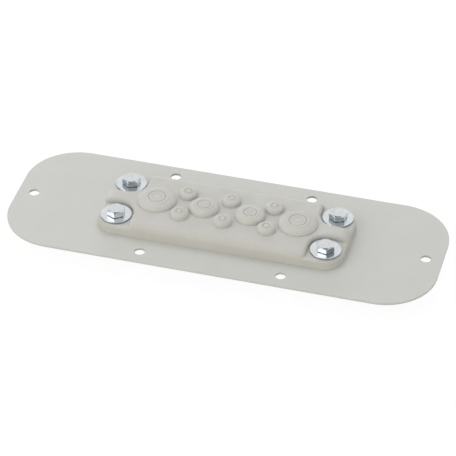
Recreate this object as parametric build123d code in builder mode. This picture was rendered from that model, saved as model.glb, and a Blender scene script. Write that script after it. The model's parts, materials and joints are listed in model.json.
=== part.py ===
import os
from math import radians, sqrt, tan

from build123d import *

# Membrane cable entry plate, in millimetres.
# The origin is the centre of the plate's back face, the face that lies on the enclosure.
# +X runs along the plate and +Z points out of the enclosure, towards the membranes.

# Flange plate, cut from painted sheet steel
plate_length = 266.0
plate_width = 96.5
plate_corner_radius = 32.5
plate_thickness = 1.5
plate_edge_break = 0.3

# Fixing holes that hold the plate to the enclosure
fixing_hole_diameter = 6.5
end_hole_margin = 10.3
side_hole_margin = 9.5
side_hole_spacing = 86.8

# Bolt pattern and cut-out shared by the plate and the block
bolt_spacing_x = 130.0
bolt_spacing_y = 32.0
bolt_to_cutout = 9.0
cutout_width = 36.0
cutout_corner_radius = 4.0

# Membrane block, with heights measured from the plate's front face
bolt_to_block_end = 11.4
bolt_to_block_side = 11.0
block_corner_radius = 12.5
block_draft_angle = 2.0
pad_height = 9.6
pad_rounding = 5.0
pocket_height = 6.3
pocket_gap = 1.0
pocket_rounding = 2.4
corner_rounding = 2.0

# Collar under the block, which goes into the cut-out
collar_gap = 0.4
collar_wall = 1.6
collar_proud = 1.5
collar_lead_in = 0.8

# Membranes: low domes with rings that guide the knife, each over a hollow cable passage
dome_wall_height = 0.9
dome_wall_lean = 0.25
dome_root = 1.0
shoulder_step = 0.35
ring_width = 0.9
ring_depth = 0.45
inner_ring_depth = 0.25
passage_wall = 2.2
membrane_thickness = 1.2

large_radius = 12.2
large_rise = 3.4
large_shoulder = 7.6
large_ring = 5.3
large_inner_ring = 2.8

medium_radius = 9.5
medium_rise = 3.4
medium_shoulder = 6.0
medium_ring = 3.9
medium_inner_ring = 1.7
medium_gap = 9.8

small_radius = 6.0
small_rise = 3.5
small_shoulder = 3.3
small_ring = 2.0
small_spacing_x = 27.0
small_spacing_y = 20.7

# M6 fasteners
thread_diameter = 6.0
thread_gap = 0.1
washer_hole_gap = 0.4
bolt_hole_gap = 0.6
bolt_proud = 4.4
bolt_tip_chamfer = 0.8
across_flats = 10.0
head_height = 4.0
head_face_height = 0.4
head_face_diameter = 8.9
nut_height = 5.0
crown_angle = 30.0
crown_inset = 0.6
washer_edge_break = 0.25
wide_washer_diameter = 19.0
wide_washer_thickness = 1.2
plain_washer_diameter = 12.0
plain_washer_thickness = 1.6

# Each corner's name, its side along X and Y, and how far its bolt is turned
corners = {
    "front_left": (-1, -1, 36.0),
    "front_right": (1, -1, 48.0),
    "back_left": (-1, 1, 23.0),
    "back_right": (1, 1, 23.0),
}

# Sizes that follow from the values above
cutout_length = bolt_spacing_x - 2 * bolt_to_cutout
collar_length = cutout_length - 2 * collar_gap
collar_width = cutout_width - 2 * collar_gap
block_length = bolt_spacing_x + 2 * bolt_to_block_end
block_width = bolt_spacing_y + 2 * bolt_to_block_side
pocket_radius = wide_washer_diameter / 2 + pocket_gap
large_spacing = collar_length - 2 * (collar_wall + large_radius - passage_wall)
medium_spacing = 2 * medium_radius + medium_gap
hex_corner_radius = across_flats / sqrt(3)
crown_radius = across_flats / 2 - crown_inset
crown_drop = (hex_corner_radius - crown_radius) * tan(radians(crown_angle))
bolt_hole_diameter = thread_diameter + bolt_hole_gap

# Levels along Z that follow from them
pad_top = plate_thickness + pad_height
washer_seat = plate_thickness + pocket_height
head_seat = washer_seat + wide_washer_thickness
nut_bottom = -plain_washer_thickness - nut_height
bolt_length = head_seat - nut_bottom + bolt_proud

os.makedirs("parts", exist_ok=True)

# Flange plate
with BuildPart() as plate:
    with BuildSketch():
        RectangleRounded(plate_length, plate_width, plate_corner_radius)
    extrude(amount=plate_thickness)
    fillet(plate.faces().filter_by(Axis.Z).edges(), plate_edge_break)
    with BuildSketch():
        RectangleRounded(cutout_length, cutout_width, cutout_corner_radius)
    extrude(amount=plate_thickness, mode=Mode.SUBTRACT)
    with Locations((0, 0, plate_thickness)):
        with GridLocations(plate_length - 2 * end_hole_margin, 0, 2, 1):
            Hole(fixing_hole_diameter / 2)
        with GridLocations(side_hole_spacing, plate_width - 2 * side_hole_margin, 2, 2):
            Hole(fixing_hole_diameter / 2)
        with GridLocations(bolt_spacing_x, bolt_spacing_y, 2, 2):
            Hole(bolt_hole_diameter / 2)

plate.part.label = "flange_plate"
export_step(plate.part, "parts/flange_plate.step")


# Membrane dome, turned about Z, standing on z = 0 with its root below
def membrane_dome(radius, rise, shoulder, rings):
    wall_top = (radius - dome_wall_lean, dome_wall_height)
    flank_top = (shoulder, rise - shoulder_step)
    crown = [flank_top, (shoulder - shoulder_step, rise)]
    for ring, depth in rings:
        crown.append((ring + ring_width / 2, rise))
        crown.append((ring, rise - depth))
        crown.append((ring - ring_width / 2, rise))
    with BuildPart() as dome:
        with BuildSketch(Plane.XZ):
            with BuildLine():
                Polyline((0, rise), (0, -dome_root), (radius, -dome_root), (radius, 0), wall_top)
                TangentArc(flank_top, wall_top, tangent=(1, 0))
                Polyline(*crown, (0, rise))
            make_face()
        revolve(axis=Axis.Z)
    return dome.part


# Hollow under a dome: a straight bore up to the pad's top, then a cone up to the membrane
def cable_passage(radius, rise, shoulder):
    bore_radius = radius - passage_wall
    bore_bottom = -(pad_top + collar_proud)
    roof = rise - membrane_thickness
    with BuildPart() as passage:
        with BuildSketch(Plane.XZ):
            with BuildLine():
                Polyline(
                    (0, roof),
                    (0, bore_bottom),
                    (bore_radius, bore_bottom),
                    (bore_radius, 0),
                    (min(shoulder, bore_radius), roof),
                    close=True,
                )
            make_face()
        revolve(axis=Axis.Z)
    return passage.part


# The rings of each size of membrane, from the outside in, with their depths
large_rings = ((large_ring, ring_depth), (large_inner_ring, inner_ring_depth))
medium_rings = ((medium_ring, ring_depth), (medium_inner_ring, inner_ring_depth))
small_rings = ((small_ring, ring_depth),)

# Each size of membrane: its dome, its passage and its grid on the pad
membranes = (
    (
        membrane_dome(large_radius, large_rise, large_shoulder, large_rings),
        cable_passage(large_radius, large_rise, large_shoulder),
        (large_spacing, 0, 2, 1),
    ),
    (
        membrane_dome(medium_radius, medium_rise, medium_shoulder, medium_rings),
        cable_passage(medium_radius, medium_rise, medium_shoulder),
        (medium_spacing, 0, 2, 1),
    ),
    (
        membrane_dome(small_radius, small_rise, small_shoulder, small_rings),
        cable_passage(small_radius, small_rise, small_shoulder),
        (small_spacing_x, small_spacing_y, 3, 2),
    ),
)

# Raised pad of the block, with its four corners cut away round the washers
with BuildPart() as raised_pad:
    with BuildSketch(Plane.XY.offset(plate_thickness)):
        RectangleRounded(block_length, block_width, block_corner_radius)
    extrude(amount=pad_height, taper=block_draft_angle)
    fillet(raised_pad.faces().sort_by(Axis.Z)[-1].edges(), pad_rounding)
    with BuildSketch(Plane.XY.offset(plate_thickness)):
        with Locations((bolt_spacing_x / 2, bolt_spacing_y / 2)):
            Circle(pocket_radius)
            Rectangle(block_length, 2 * pocket_radius, align=(Align.MIN, Align.CENTER))
            Rectangle(2 * pocket_radius, block_width, align=(Align.CENTER, Align.MIN))
        mirror(about=Plane.YZ)
        mirror(about=Plane.XZ)
    extrude(amount=pad_height, mode=Mode.SUBTRACT)
    pocket_edges = raised_pad.edges(Select.LAST).filter_by(Axis.Z, reverse=True)
    pocket_rim = pocket_edges.filter_by(lambda edge: edge.center().Z > plate_thickness)
    fillet(pocket_rim, pocket_rounding)

# Membrane block, moulded in one piece
with BuildPart() as block:
    with BuildSketch(Plane.XY.offset(plate_thickness)):
        RectangleRounded(block_length, block_width, block_corner_radius)
    extrude(amount=pocket_height, taper=block_draft_angle)
    fillet(block.faces().sort_by(Axis.Z)[-1].edges(), corner_rounding)
    add(raised_pad.part)
    with BuildSketch(Plane.XY.offset(-collar_proud)):
        RectangleRounded(collar_length, collar_width, cutout_corner_radius - collar_gap)
    extrude(amount=collar_proud + plate_thickness)
    chamfer(block.faces().sort_by(Axis.Z)[0].edges(), collar_lead_in)
    for dome, _, grid in membranes:
        with GridLocations(*grid), Locations((0, 0, pad_top)):
            add(dome)
    for _, passage, grid in membranes:
        with GridLocations(*grid), Locations((0, 0, pad_top)):
            add(passage, mode=Mode.SUBTRACT)
    with GridLocations(bolt_spacing_x, bolt_spacing_y, 2, 2), Locations((0, 0, washer_seat)):
        Hole(bolt_hole_diameter / 2)

block.part.label = "membrane_block"
export_step(block.part, "parts/membrane_block.step")


# Plain washer, lying on z = 0
def flat_washer(outer_diameter, thickness):
    with BuildPart() as washer:
        with BuildSketch():
            Circle(outer_diameter / 2)
            Circle((thread_diameter + washer_hole_gap) / 2, mode=Mode.SUBTRACT)
        extrude(amount=thickness)
        chamfer(washer.faces().sort_by(Axis.Z)[-1].edges(), washer_edge_break)
    return washer.part


# Six-sided blank standing on z = 0, with its corners turned off at the top, or at both ends
def hex_blank(height, both_ends):
    turned = [(0, height), (crown_radius, height), (hex_corner_radius, height - crown_drop)]
    if both_ends:
        turned += [(hex_corner_radius, crown_drop), (crown_radius, 0), (0, 0)]
    else:
        turned += [(hex_corner_radius, 0), (0, 0)]
    with BuildPart() as blank:
        with BuildSketch():
            RegularPolygon(across_flats / 2, 6, major_radius=False)
        extrude(amount=height)
        with BuildSketch(Plane.XZ):
            with BuildLine():
                Polyline(*turned, close=True)
            make_face()
        revolve(axis=Axis.Z, mode=Mode.INTERSECT)
    return blank.part


wide_washer = flat_washer(wide_washer_diameter, wide_washer_thickness)
plain_washer = flat_washer(plain_washer_diameter, plain_washer_thickness)
bolt_head = hex_blank(head_height - head_face_height, both_ends=False)
nut_blank = hex_blank(nut_height, both_ends=True)

# Hex bolt, with the round face under its head on z = 0
with BuildPart() as hex_bolt:
    with Locations((0, 0, head_face_height)):
        add(bolt_head)
    Cylinder(head_face_diameter / 2, head_face_height, align=(Align.CENTER, Align.CENTER, Align.MIN))
    Cylinder(thread_diameter / 2, bolt_length, align=(Align.CENTER, Align.CENTER, Align.MAX))
    chamfer(hex_bolt.faces().sort_by(Axis.Z)[0].edges(), bolt_tip_chamfer)

# Hex nut, lying on z = 0
with BuildPart() as hex_nut:
    add(nut_blank)
    Hole((thread_diameter + thread_gap) / 2)


# Writes a copy of a fastener as a piece of its own
def place(fastener, name, spot, turn=0.0):
    with BuildPart() as placed:
        with Locations(Location(spot, (0, 0, turn))):
            add(fastener)
    placed.part.label = name
    export_step(placed.part, f"parts/{name}.step")


for corner, (side_x, side_y, turn) in corners.items():
    x = side_x * bolt_spacing_x / 2
    y = side_y * bolt_spacing_y / 2
    place(wide_washer, f"wide_washer_{corner}", (x, y, washer_seat))
    place(hex_bolt.part, f"hex_bolt_{corner}", (x, y, head_seat), turn)
    place(plain_washer, f"plain_washer_{corner}", (x, y, -plain_washer_thickness))
    place(hex_nut.part, f"hex_nut_{corner}", (x, y, nut_bottom), turn)
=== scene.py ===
import json
import math

import bmesh
import bpy
from mathutils import Matrix, Vector


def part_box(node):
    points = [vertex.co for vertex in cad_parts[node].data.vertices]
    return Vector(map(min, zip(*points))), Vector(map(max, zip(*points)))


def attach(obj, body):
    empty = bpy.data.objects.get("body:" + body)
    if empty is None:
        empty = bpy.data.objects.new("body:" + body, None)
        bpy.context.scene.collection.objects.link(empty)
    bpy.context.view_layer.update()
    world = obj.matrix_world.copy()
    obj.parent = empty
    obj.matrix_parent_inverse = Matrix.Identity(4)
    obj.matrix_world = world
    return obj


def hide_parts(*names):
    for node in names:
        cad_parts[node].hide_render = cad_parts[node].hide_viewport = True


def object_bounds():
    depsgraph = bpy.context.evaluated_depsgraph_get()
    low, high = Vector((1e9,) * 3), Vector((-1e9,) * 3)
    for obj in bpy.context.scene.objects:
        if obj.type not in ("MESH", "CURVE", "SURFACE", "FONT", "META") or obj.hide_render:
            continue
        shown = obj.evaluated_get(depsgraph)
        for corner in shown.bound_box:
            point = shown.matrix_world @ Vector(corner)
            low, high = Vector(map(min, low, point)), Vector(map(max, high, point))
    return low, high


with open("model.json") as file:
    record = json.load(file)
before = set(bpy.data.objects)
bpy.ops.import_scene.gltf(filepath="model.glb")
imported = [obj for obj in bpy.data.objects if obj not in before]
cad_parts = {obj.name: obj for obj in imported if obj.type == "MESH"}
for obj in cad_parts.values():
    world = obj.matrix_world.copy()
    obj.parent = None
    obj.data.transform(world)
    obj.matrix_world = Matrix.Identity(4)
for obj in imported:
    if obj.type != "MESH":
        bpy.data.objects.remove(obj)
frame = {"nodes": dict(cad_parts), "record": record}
cadLow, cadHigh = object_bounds()
print("frame loaded with", len(frame["nodes"]), "nodes")

millimetre = 0.001
cornerNames = ["front_left", "front_right", "back_left", "back_right"]


# a direction from the object, azimuth 0 is towards -Y and 90 towards +X
def directionTo(azimuth, elevation):
    a = math.radians(azimuth)
    e = math.radians(elevation)
    return Vector((math.sin(a) * math.cos(e), -math.cos(a) * math.cos(e), math.sin(e)))


plateLow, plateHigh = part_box("flange_plate")
plateMiddle = (plateLow + plateHigh) / 2
plateTopCentre = Vector((plateMiddle.x, plateMiddle.y, plateHigh.z))

# camera
shot = {
    "focalPixels": 2606.02,     # focal length in pixels of the 456 pixel frame
    "framePixels": 456,
    "sensor": 36.0,
    "azimuth": 15.2042,
    "elevation": 37.8494,
    "roll": 0.2018,
    "distance": 1.575717,
    "right": 0.000598,          # where the camera stands beside the line of sight, in metres
    "up": -0.001842,
    "nearest": 0.01,
    "farthest": 100.0,
}


def addCamera():
    back = directionTo(shot["azimuth"], shot["elevation"])
    turn = (-back).to_track_quat("-Z", "Y").to_matrix()
    turn = turn @ Matrix.Rotation(math.radians(shot["roll"]), 3, "Z")
    right, up = turn.col[0], turn.col[1]
    data = bpy.data.cameras.new("shotCamera")
    data.sensor_width = shot["sensor"]
    data.lens = shot["focalPixels"] / shot["framePixels"] * shot["sensor"]
    data.clip_start = shot["nearest"]
    data.clip_end = shot["farthest"]
    camera = bpy.data.objects.new("shotCamera", data)
    place = plateTopCentre + back * shot["distance"] + right * shot["right"] + up * shot["up"]
    camera.matrix_world = Matrix.Translation(place) @ turn.to_4x4()
    bpy.context.scene.collection.objects.link(camera)
    bpy.context.scene.camera = camera


addCamera()
bpy.context.scene.view_settings.view_transform = "Standard"
print("camera placed")


# materials
def newMaterial(name):
    material = bpy.data.materials.new(name)
    material.use_nodes = True
    nodes, links = material.node_tree.nodes, material.node_tree.links
    return material, nodes, links, nodes["Principled BSDF"]


# where a point lies in the part's own frame, in metres
def partPoint(nodes, links):
    add = nodes.new("ShaderNodeVectorMath")
    add.operation = "ADD"
    links.new(nodes.new("ShaderNodeTexCoord").outputs["Object"], add.inputs[0])
    links.new(nodes.new("ShaderNodeObjectInfo").outputs["Location"], add.inputs[1])
    return add.outputs["Vector"]


# the X, Y and Z of a vector
def splitVector(nodes, links, vector):
    parts = nodes.new("ShaderNodeSeparateXYZ")
    links.new(vector, parts.inputs["Vector"])
    return parts.outputs


# a value carried over from one range to another
def mapRange(nodes, links, value, fromLow, fromHigh, toLow, toHigh):
    spread = nodes.new("ShaderNodeMapRange")
    spread.inputs["From Min"].default_value = fromLow
    spread.inputs["From Max"].default_value = fromHigh
    spread.inputs["To Min"].default_value = toLow
    spread.inputs["To Max"].default_value = toHigh
    links.new(value, spread.inputs["Value"])
    return spread.outputs["Result"]


noiseLow, noiseHigh = 0.3, 0.7      # nearly all of a noise lies between these


# noise with its value spread between two limits
def noiseBetween(nodes, links, scale, low=0.0, high=1.0, detail=3.0):
    noise = nodes.new("ShaderNodeTexNoise")
    noise.inputs["Scale"].default_value = scale
    noise.inputs["Detail"].default_value = detail
    links.new(partPoint(nodes, links), noise.inputs["Vector"])
    return mapRange(nodes, links, noise.outputs["Fac"], noiseLow, noiseHigh, low, high)


def mixColours(nodes, links, factor, first, second):
    mix = nodes.new("ShaderNodeMix")
    mix.data_type = "RGBA"
    mix.inputs["A"].default_value = (*first, 1.0)
    mix.inputs["B"].default_value = (*second, 1.0)
    links.new(factor, mix.inputs["Factor"])
    return mix.outputs["Result"]


# darkens a tone where a value falls from plain to dark, down to the least share of it
def shadeBy(nodes, links, tone, value, dark, plain, least):
    darken = nodes.new("ShaderNodeMix")
    darken.data_type = "RGBA"
    darken.blend_type = "MULTIPLY"
    darken.inputs["Factor"].default_value = 1.0
    links.new(tone, darken.inputs["A"])
    links.new(mapRange(nodes, links, value, dark, plain, least, 1.0), darken.inputs["B"])
    return darken.outputs["Result"]


# the sheen and the fine relief of a finish
def addSurface(nodes, links, shader, finish):
    sheen = noiseBetween(nodes, links, finish["sheenScale"], finish["smooth"], finish["rough"])
    links.new(sheen, shader.inputs["Roughness"])
    relief = noiseBetween(nodes, links, finish["reliefScale"], detail=finish["reliefDetail"])
    bump = nodes.new("ShaderNodeBump")
    bump.inputs["Strength"].default_value = 1.0
    bump.inputs["Distance"].default_value = finish["reliefDepth"]
    links.new(relief, bump.inputs["Height"])
    links.new(bump.outputs["Normal"], shader.inputs["Normal"])


paint = {
    "lightGrey": (0.612, 0.618, 0.586),
    "darkGrey": (0.592, 0.600, 0.566),
    "mottleScale": 45.0,
    "sheenScale": 900.0,
    "smooth": 0.42,
    "rough": 0.52,
    "reliefScale": 900.0,       # orange peel
    "reliefDetail": 1.0,
    "reliefDepth": 0.02 * millimetre,
}


def makePaint():
    material, nodes, links, shader = newMaterial("powderCoat")
    mottle = noiseBetween(nodes, links, paint["mottleScale"])
    tone = mixColours(nodes, links, mottle, paint["lightGrey"], paint["darkGrey"])
    links.new(tone, shader.inputs["Base Color"])
    addSurface(nodes, links, shader, paint)
    return material


elastomer = {
    "lightGrey": (0.602, 0.596, 0.562),
    "darkGrey": (0.576, 0.569, 0.532),
    "mottleScale": 90.0,
    "creaseReach": 2.0 * millimetre,
    "paintedCreaseShade": 0.90,        # what a full crease keeps of the tone under the painted shade
    "creaseDark": 0.4,          # how open the surface is in a full crease and out of it
    "creasePlain": 1.0,
    "creaseSamples": 12,
    "sheenScale": 90.0,
    "smooth": 0.55,
    "rough": 0.72,
    "reliefScale": 2200.0,      # grain of the mould
    "reliefDetail": 2.0,
    "reliefDepth": 0.015 * millimetre,
}


# painted shade: the tone darkened by ambient occlusion where the surface folds in on itself
def paintShadeInCreases(nodes, links, tone):
    openness = nodes.new("ShaderNodeAmbientOcclusion")
    openness.samples = elastomer["creaseSamples"]
    openness.only_local = True      # the washers and the plate leave no painted shade on it
    openness.inputs["Distance"].default_value = elastomer["creaseReach"]
    dark, plain = elastomer["creaseDark"], elastomer["creasePlain"]
    return shadeBy(nodes, links, tone, openness.outputs["AO"], dark, plain, elastomer["paintedCreaseShade"])


def makeElastomer():
    material, nodes, links, shader = newMaterial("mouldedElastomer")
    mottle = noiseBetween(nodes, links, elastomer["mottleScale"])
    tone = mixColours(nodes, links, mottle, elastomer["lightGrey"], elastomer["darkGrey"])
    # the base colour carries painted shade in the creases
    links.new(paintShadeInCreases(nodes, links, tone), shader.inputs["Base Color"])
    addSurface(nodes, links, shader, elastomer)
    return material


zinc = {
    "boltBright": (0.690, 0.708, 0.716),
    "boltDull": (0.632, 0.653, 0.663),
    "washerBright": (0.700, 0.730, 0.750),
    "washerDull": (0.640, 0.675, 0.700),
    "cloudScale": 260.0,
    "paintedRimShade": 0.55,       # what a washer's upright rim keeps of the tone under the painted shade
    "paintedRimDark": 0.3,         # how far the surface faces up or down on that edge and off it
    "paintedRimPlain": 0.8,
    "sheenScale": 260.0,
    "smooth": 0.12,
    "rough": 0.26,
    "reliefScale": 350.0,       # waves in the plating
    "reliefDetail": 1.0,
    "reliefDepth": 0.02 * millimetre,
}


# painted shade and reflection: the tone of a washer, darker where its surface stands upright, for the
# contact shadow and dark reflections on its rim
def paintShadeOnRim(nodes, links, tone):
    normal = nodes.new("ShaderNodeTexCoord").outputs["Normal"]
    level = nodes.new("ShaderNodeMath")
    level.operation = "ABSOLUTE"
    links.new(splitVector(nodes, links, normal)["Z"], level.inputs[0])
    dark, plain = zinc["paintedRimDark"], zinc["paintedRimPlain"]
    return shadeBy(nodes, links, tone, level.outputs[0], dark, plain, zinc["paintedRimShade"])


def makeZinc(kind, shadedRim=False):
    material, nodes, links, shader = newMaterial(kind + "Zinc")
    shader.inputs["Metallic"].default_value = 1.0
    cloud = noiseBetween(nodes, links, zinc["cloudScale"])
    tone = mixColours(nodes, links, cloud, zinc[kind + "Bright"], zinc[kind + "Dull"])
    # paints shade and dark reflection on the washer's upright rim
    if shadedRim:
        tone = paintShadeOnRim(nodes, links, tone)
    links.new(tone, shader.inputs["Base Color"])
    addSurface(nodes, links, shader, zinc)
    return material


finishes = {
    "painted_plate": makePaint(),
    "elastomer": makeElastomer(),
    "zinc_steel": makeZinc("bolt"),
}
# the washers' material carries painted shade on their rims
washerZinc = makeZinc("washer", shadedRim=True)
for subpart in frame["record"]["subparts"]:
    node = frame["nodes"][subpart["node"]]
    node.data.materials.clear()
    node.data.materials.append(finishes[subpart["material_slot"]])
print("finishes given to", len(frame["nodes"]), "nodes")

# fasteners, each turned about its own Z axis in rings of points
segments = 72
creaseAngle = 40.0      # edges that turn by more stay sharp
flatWeight = 100        # how much more a large face counts in the shading of its edges


def addRing(mesh, radii, heights):
    ring = []
    for i in range(segments):
        a = 2 * math.pi * i / segments
        ring.append(mesh.verts.new((radii[i] * math.cos(a), radii[i] * math.sin(a), heights[i])))
    return ring


def roundRing(mesh, radius, height):
    return addRing(mesh, [radius] * segments, [height] * segments)


def joinRings(mesh, rings):
    for lower, upper in zip(rings, rings[1:]):
        for i in range(segments):
            k = (i + 1) % segments
            mesh.faces.new((lower[i], lower[k], upper[k], upper[i]))


# the edges that turn by more than an angle
def edgesOver(mesh, angle):
    limit = math.radians(angle)
    return [e for e in mesh.edges if len(e.link_faces) == 2 and e.calc_face_angle() > limit]


# the middle of a node's box in X and Y, at a height
def middleOf(low, high, z):
    return Vector(((low.x + high.x) / 2, (low.y + high.y) / 2, z))


def finishPiece(mesh, name, node, centre, material, turn=0.0):
    bmesh.ops.recalc_face_normals(mesh, faces=mesh.faces[:])
    for face in mesh.faces:
        face.smooth = True
    for edge in edgesOver(mesh, creaseAngle):
        edge.smooth = False
    data = bpy.data.meshes.new(name)
    mesh.to_mesh(data)
    mesh.free()
    data.materials.append(material)
    piece = bpy.data.objects.new(name, data)
    bpy.context.scene.collection.objects.link(piece)
    piece.location = centre
    piece.rotation_euler = (0.0, 0.0, math.radians(turn))
    flat = piece.modifiers.new("flatSides", "WEIGHTED_NORMAL")
    flat.keep_sharp = True
    flat.weight = flatWeight
    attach(piece, "root")
    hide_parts(node)


# the hexagon of the heads and the nuts
hexForm = {
    "acrossFlats": 10.0 * millimetre,
    "crownAcross": 8.8 * millimetre,
    "crownAngle": 30.0,
    "edgeAngle": 20.0,          # edges that turn by more are rounded
    "edgeRound": 0.12 * millimetre,
    "edgeSteps": 3,
    "edgeProfile": 0.5,         # a quarter of a circle
}


def hexRadii():
    radii = []
    for i in range(segments):
        fromFlat = (360.0 * i / segments) % 60.0 - 30.0
        radii.append(hexForm["acrossFlats"] / 2 / math.cos(math.radians(fromFlat)))
    return radii


# how far the turned crown comes down at each point of the hexagon
def crownDrops():
    slope = math.tan(math.radians(hexForm["crownAngle"]))
    return [(r - hexForm["crownAcross"] / 2) * slope for r in hexRadii()]


def softenEdges(mesh):
    bmesh.ops.recalc_face_normals(mesh, faces=mesh.faces[:])
    sharp = edgesOver(mesh, hexForm["edgeAngle"])
    bmesh.ops.bevel(
        mesh, geom=sharp, offset=hexForm["edgeRound"], segments=hexForm["edgeSteps"],
        profile=hexForm["edgeProfile"], affect="EDGES", clamp_overlap=True)


bolt = {
    "turns": {"front_left": 36.0, "front_right": 48.0, "back_left": 23.0, "back_right": 23.0},
    "headHeight": 4.0 * millimetre,
    "faceHeight": 0.4 * millimetre,     # the round face under the hexagon
    "faceAcross": 8.9 * millimetre,
    "neckAcross": 4.8 * millimetre,
    "neckFillet": 0.3 * millimetre,
    "threadStart": 1.0 * millimetre,
    "major": 6.0 * millimetre,
    "root": 4.92 * millimetre,
    "pitch": 1.0 * millimetre,
    "crestShare": 1 / 8,                # shares of the pitch, two flanks take the rest
    "valleyShare": 1 / 4,
    "flankSteps": 4,
    "spareTurns": 3,                    # turns beyond the ends, which the ends cut off
    "tipAcross": 4.4 * millimetre,
    "weld": 0.0005 * millimetre,
}


# depth below the start of a turn and radius, over one turn of the thread
def threadSection():
    pitch, steps = bolt["pitch"], bolt["flankSteps"]
    outer, inner = bolt["major"] / 2, bolt["root"] / 2
    crest, valley = pitch * bolt["crestShare"], pitch * bolt["valleyShare"]
    flank = (pitch - crest - valley) / 2
    section = [(0.0, outer), (crest, outer)]
    for s in range(1, steps + 1):
        section.append((crest + flank * s / steps, outer + (inner - outer) * s / steps))
    for s in range(steps):
        section.append((crest + flank + valley + flank * s / steps, inner + (outer - inner) * s / steps))
    return section


# rows of one helix each, held back by the run-out at the top and the chamfer at the tip
def addThread(mesh, top, tip):
    pitch = bolt["pitch"]
    section = threadSection()
    count = math.ceil((top - tip) / pitch) + bolt["spareTurns"]
    rows = []
    for k in range(count):
        for drop, radius in section:
            row = []
            for i in range(segments):
                a = 2 * math.pi * i / segments
                z = min(top, max(tip, top + pitch - k * pitch - drop + pitch * i / segments))
                r = min(radius, bolt["neckAcross"] / 2 + top - z, bolt["tipAcross"] / 2 + z - tip)
                row.append(mesh.verts.new((r * math.cos(a), r * math.sin(a), z)))
            rows.append(row)
    lead = len(section)
    last = segments - 1
    for j in range(len(rows) - 1):
        for i in range(last):
            mesh.faces.new((rows[j][i], rows[j + 1][i], rows[j + 1][i + 1], rows[j][i + 1]))
        if j >= lead:
            mesh.faces.new((rows[j][last], rows[j + 1][last], rows[j + 1 - lead][0], rows[j - lead][0]))
    bmesh.ops.remove_doubles(mesh, verts=mesh.verts[:], dist=bolt["weld"])


def makeBolt(corner):
    node = "hex_bolt_" + corner
    low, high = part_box(node)
    head = bolt["headHeight"]
    seat = high.z - head
    sides = hexRadii()
    neck = bolt["neckAcross"] / 2
    face = bolt["faceAcross"] / 2
    mesh = bmesh.new()
    rings = [
        roundRing(mesh, neck, -bolt["threadStart"]),
        roundRing(mesh, neck, -bolt["neckFillet"]),
        roundRing(mesh, neck + bolt["neckFillet"], 0.0),
        roundRing(mesh, face, 0.0),
        roundRing(mesh, face, bolt["faceHeight"]),
        addRing(mesh, sides, [bolt["faceHeight"]] * segments),
        addRing(mesh, sides, [head - drop for drop in crownDrops()]),
        roundRing(mesh, hexForm["crownAcross"] / 2, head),
    ]
    joinRings(mesh, rings)
    mesh.faces.new(rings[-1])
    softenEdges(mesh)
    addThread(mesh, -bolt["threadStart"], low.z - seat)
    bmesh.ops.holes_fill(mesh, edges=[e for e in mesh.edges if e.is_boundary], sides=segments)
    centre = middleOf(low, high, seat)
    finishPiece(mesh, "bolt_" + corner, node, centre, finishes["zinc_steel"], bolt["turns"][corner])


nut = {
    "bore": 6.1 * millimetre,
    "countersink": 6.7 * millimetre,
}


# each nut stands turned as its bolt does
def makeNut(corner):
    node = "hex_nut_" + corner
    low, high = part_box(node)
    height = high.z - low.z
    sides = hexRadii()
    drops = crownDrops()
    bore, mouth, crown = nut["bore"] / 2, nut["countersink"] / 2, hexForm["crownAcross"] / 2
    sink = mouth - bore
    mesh = bmesh.new()
    rings = [
        roundRing(mesh, bore, height - sink),
        roundRing(mesh, bore, sink),
        roundRing(mesh, mouth, 0.0),
        roundRing(mesh, crown, 0.0),
        addRing(mesh, sides, drops),
        addRing(mesh, sides, [height - drop for drop in drops]),
        roundRing(mesh, crown, height),
        roundRing(mesh, mouth, height),
    ]
    joinRings(mesh, rings + rings[:1])
    softenEdges(mesh)
    centre = middleOf(low, high, low.z)
    finishPiece(mesh, "nut_" + corner, node, centre, finishes["zinc_steel"], bolt["turns"][corner])


# pressed washer: the punch leaves its top edge round and its lower edge crisp
washer = {
    "names": {"wide_washer": "wideWasher", "plain_washer": "plainWasher"},
    "bore": 6.4 * millimetre,
    "topRound": 0.35 * millimetre,
    "boreRound": 0.2 * millimetre,
    "lowerBreak": 0.08 * millimetre,
    "roundSteps": 5,
}


def makeWasher(kind, corner):
    node = kind + "_" + corner
    low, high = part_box(node)
    outer = (high.x - low.x) / 2
    inner = washer["bore"] / 2
    height = high.z - low.z
    small = washer["lowerBreak"]
    section = [(inner, small), (inner + small, 0.0), (outer - small, 0.0), (outer, small)]
    steps = washer["roundSteps"]
    quarter = [math.pi / 2 * s / steps for s in range(steps + 1)]
    r = washer["topRound"]
    section += [(outer - r + r * math.cos(a), height - r + r * math.sin(a)) for a in quarter]
    r = washer["boreRound"]
    section += [(inner + r - r * math.sin(a), height - r + r * math.cos(a)) for a in quarter]
    mesh = bmesh.new()
    rings = [roundRing(mesh, radius, z) for radius, z in section]
    joinRings(mesh, rings + rings[:1])
    centre = middleOf(low, high, low.z)
    finishPiece(mesh, washer["names"][kind] + "_" + corner, node, centre, washerZinc)


for corner in cornerNames:
    makeBolt(corner)
    makeNut(corner)
    makeWasher("wide_washer", corner)
    makeWasher("plain_washer", corner)
print("fasteners made at", len(cornerNames), "corners")

# floor and world: white to the camera and to reflections, a room's light for everything else
stage = {
    "floorSide": 12.0,
    "floorGap": 0.00002,
    "white": 0.95,                      # the floor's own white, which stays in a shadow
    "shadowShare": 0.08,                # the white that light adds and a shadow takes away
    "bounceGrey": 0.75,
    "worldLight": 0.48,
    "horizonTint": (1.0, 0.96, 0.85),   # warm walls low down, a plain ceiling above
    "zenithTint": (1.0, 1.0, 1.0),
    "zenithFrom": 0.6,                  # height on the unit sphere where the ceiling's tint is full
}


def largerOf(nodes, links, first, second):
    larger = nodes.new("ShaderNodeMath")
    larger.operation = "MAXIMUM"
    links.new(first, larger.inputs[0])
    links.new(second, larger.inputs[1])
    return larger.outputs[0]


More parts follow.
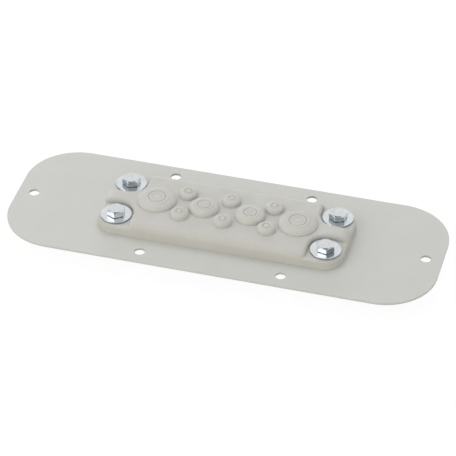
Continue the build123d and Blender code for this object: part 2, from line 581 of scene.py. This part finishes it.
# one shader for rays from the camera, off a gloss or through a clear body, another for the rest
def chooseShader(nodes, links, seen, unseen, output):
    path = nodes.new("ShaderNodeLightPath").outputs
    direct = largerOf(nodes, links, path["Is Camera Ray"], path["Is Glossy Ray"])
    direct = largerOf(nodes, links, direct, path["Is Transmission Ray"])
    choose = nodes.new("ShaderNodeMixShader")
    links.new(direct, choose.inputs["Fac"])
    links.new(unseen.outputs[0], choose.inputs[1])
    links.new(seen.outputs[0], choose.inputs[2])
    links.new(choose.outputs[0], output.inputs["Surface"])


# a flat rectangle with an empty material
def addPlane(name, width, depth):
    data = bpy.data.meshes.new(name)
    x, y = width / 2, depth / 2
    data.from_pydata([(-x, -y, 0), (x, -y, 0), (x, y, 0), (-x, y, 0)], [], [(0, 1, 2, 3)])
    material = bpy.data.materials.new(name)
    material.use_nodes = True
    material.node_tree.nodes.clear()
    data.materials.append(material)
    plane = bpy.data.objects.new(name, data)
    bpy.context.scene.collection.objects.link(plane)
    return plane, material.node_tree.nodes, material.node_tree.links


def diffuseGrey(nodes, grey):
    diffuse = nodes.new("ShaderNodeBsdfDiffuse")
    diffuse.inputs["Color"].default_value = (grey, grey, grey, 1.0)
    return diffuse


def addFloor():
    floor, nodes, links = addPlane("studioFloor", stage["floorSide"], stage["floorSide"])
    floor.location.z = cadLow.z - stage["floorGap"]
    glow = nodes.new("ShaderNodeEmission")
    glow.inputs["Strength"].default_value = stage["white"]
    white = nodes.new("ShaderNodeAddShader")
    links.new(diffuseGrey(nodes, stage["shadowShare"]).outputs[0], white.inputs[0])
    links.new(glow.outputs[0], white.inputs[1])
    bounce = diffuseGrey(nodes, stage["bounceGrey"])
    chooseShader(nodes, links, white, bounce, nodes.new("ShaderNodeOutputMaterial"))


def addWorld():
    world = bpy.data.worlds.new("studioWorld")
    bpy.context.scene.world = world
    world.use_nodes = True
    nodes, links = world.node_tree.nodes, world.node_tree.links
    white = nodes["Background"]
    white.inputs["Color"].default_value = (1.0, 1.0, 1.0, 1.0)
    room = nodes.new("ShaderNodeBackground")
    room.inputs["Strength"].default_value = stage["worldLight"]
    towards = nodes.new("ShaderNodeTexCoord").outputs["Generated"]
    height = splitVector(nodes, links, towards)["Z"]
    rise = mapRange(nodes, links, height, 0.0, stage["zenithFrom"], 0.0, 1.0)
    tint = mixColours(nodes, links, rise, stage["horizonTint"], stage["zenithTint"])
    links.new(tint, room.inputs["Color"])
    chooseShader(nodes, links, white, room, nodes["World Output"])


# stands at a distance from the plate and faces its middle
def faceThePlate(thing, azimuth, elevation, distance):
    towards = directionTo(azimuth, elevation)
    thing.location = plateTopCentre + towards * distance
    thing.rotation_mode = "QUATERNION"
    thing.rotation_quaternion = (-towards).to_track_quat("-Z", "Y")


# softboxes, sizes in metres
warmWhite = (1.0, 0.91, 0.72)
plainWhite = (1.0, 0.995, 0.97)
coolWhite = (0.985, 1.0, 1.035)
softboxes = {
    "keySoftbox": {
        "azimuth": 312.0, "elevation": 34.0, "width": 1.1, "height": 1.0, "watts": 4.9, "tint": plainWhite},
    "frontStrip": {
        "azimuth": 0.0, "elevation": 10.0, "width": 1.2, "height": 0.4, "watts": 2.5, "tint": warmWhite},
    "backSoftbox": {
        "azimuth": 190.0, "elevation": 65.0, "width": 1.1, "height": 1.1, "watts": 6.25, "tint": coolWhite},
    "backStrip": {
        "azimuth": 195.0, "elevation": 12.0, "width": 1.2, "height": 0.4, "watts": 5.0, "tint": coolWhite},
    "rightStrip": {
        "azimuth": 60.0, "elevation": 12.0, "width": 1.2, "height": 0.4, "watts": 1.9, "tint": plainWhite},
    "leftStrip": {
        "azimuth": 268.0, "elevation": 14.0, "width": 1.2, "height": 0.4, "watts": 1.1, "tint": plainWhite},
}
softboxDistance = 1.4
inReflections = ["keySoftbox"]


def addSoftbox(name, box):
    data = bpy.data.lights.new(name, "AREA")
    data.shape = "RECTANGLE"
    data.size = box["width"]
    data.size_y = box["height"]
    data.energy = box["watts"]
    data.color = box["tint"]
    lamp = bpy.data.objects.new(name, data)
    faceThePlate(lamp, box["azimuth"], box["elevation"], softboxDistance)
    lamp.visible_camera = False
    lamp.visible_glossy = name in inReflections
    bpy.context.scene.collection.objects.link(lamp)


# dark cards, seen only in reflections, as the unlit sides of the studio are
darkCards = {
    "frontCard": {"azimuth": 24.0, "elevation": 36.0, "width": 0.60, "height": 0.70, "tone": 0.50},
    "rightCard": {"azimuth": 90.0, "elevation": 34.0, "width": 0.75, "height": 0.70, "tone": 0.33},
    "leftCard": {"azimuth": 270.0, "elevation": 36.0, "width": 0.45, "height": 0.70, "tone": 0.55},
    "ceilingCard": {"azimuth": 15.0, "elevation": 84.0, "width": 0.80, "height": 0.80, "tone": 0.28},
}
cardDistance = 1.0
cardTint = (0.94, 1.0, 1.03)


def addCard(name, card):
    plane, nodes, links = addPlane(name, card["width"], card["height"])
    glow = nodes.new("ShaderNodeEmission")
    glow.inputs["Color"].default_value = (*[card["tone"] * share for share in cardTint], 1.0)
    links.new(glow.outputs[0], nodes.new("ShaderNodeOutputMaterial").inputs["Surface"])
    faceThePlate(plane, card["azimuth"], card["elevation"], cardDistance)
    plane.visible_camera = False
    plane.visible_diffuse = False
    plane.visible_transmission = False
    plane.visible_shadow = False


addFloor()
addWorld()
for name, box in softboxes.items():
    addSoftbox(name, box)
for name, card in darkCards.items():
    addCard(name, card)
print("stage lit by", len(softboxes), "softboxes")
